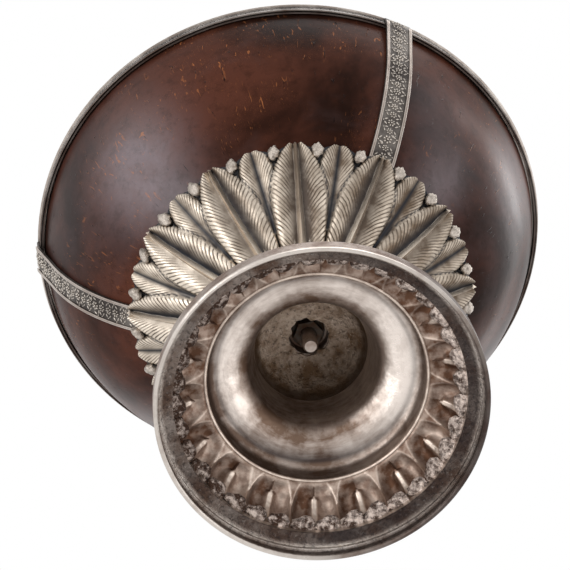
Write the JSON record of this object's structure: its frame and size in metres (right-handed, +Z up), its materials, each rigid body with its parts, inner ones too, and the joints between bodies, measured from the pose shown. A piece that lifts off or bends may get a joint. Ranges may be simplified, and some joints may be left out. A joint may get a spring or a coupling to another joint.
{
  "type": "mounted coconut cup",
  "caption": "Footed cup: a polished half coconut shell held by a leaf calyx, ornamented straps and a rim mount, on a hollow trumpet foot with a stamped leaf border.",
  "frame": {"origin": "centre of the circle on which the foot stands, on the table plane", "axes": "+Z up through the stem to the bowl, +X along the bowl's longer diameter; the straps reach the rim at 68, 188 and 306 degrees from +X"},
  "size_m": [0.1109, 0.1056, 0.0987],
  "materials": {
    "silver": "polished",
    "silver_dark": "satin",
    "silver_leaf": "satin",
    "coconut": "polished",
    "iron": "satin"
  },
  "bodies": {
    "root": {"foot_base_ring": "silver_dark", "foot_leaf_border": "silver", "foot_trumpet": "silver", "stem_dome": "silver", "stem_collar": "silver", "threaded_rod": "iron", "rod_boss": "silver_dark", "rod_washer": "iron", "rod_nut": "iron", "leaf_calyx": "silver_leaf", "coconut_shell": "coconut", "rim_sleeve": "silver", "rim_band": "silver_dark", "rim_wire": "silver", "strap_1": "silver_dark", "strap_1_right_wire": "silver", "strap_1_left_wire": "silver", "strap_2": "silver_dark", "strap_2_right_wire": "silver", "strap_2_left_wire": "silver", "strap_3": "silver_dark", "strap_3_right_wire": "silver", "strap_3_left_wire": "silver"}
  },
  "joints": []
}
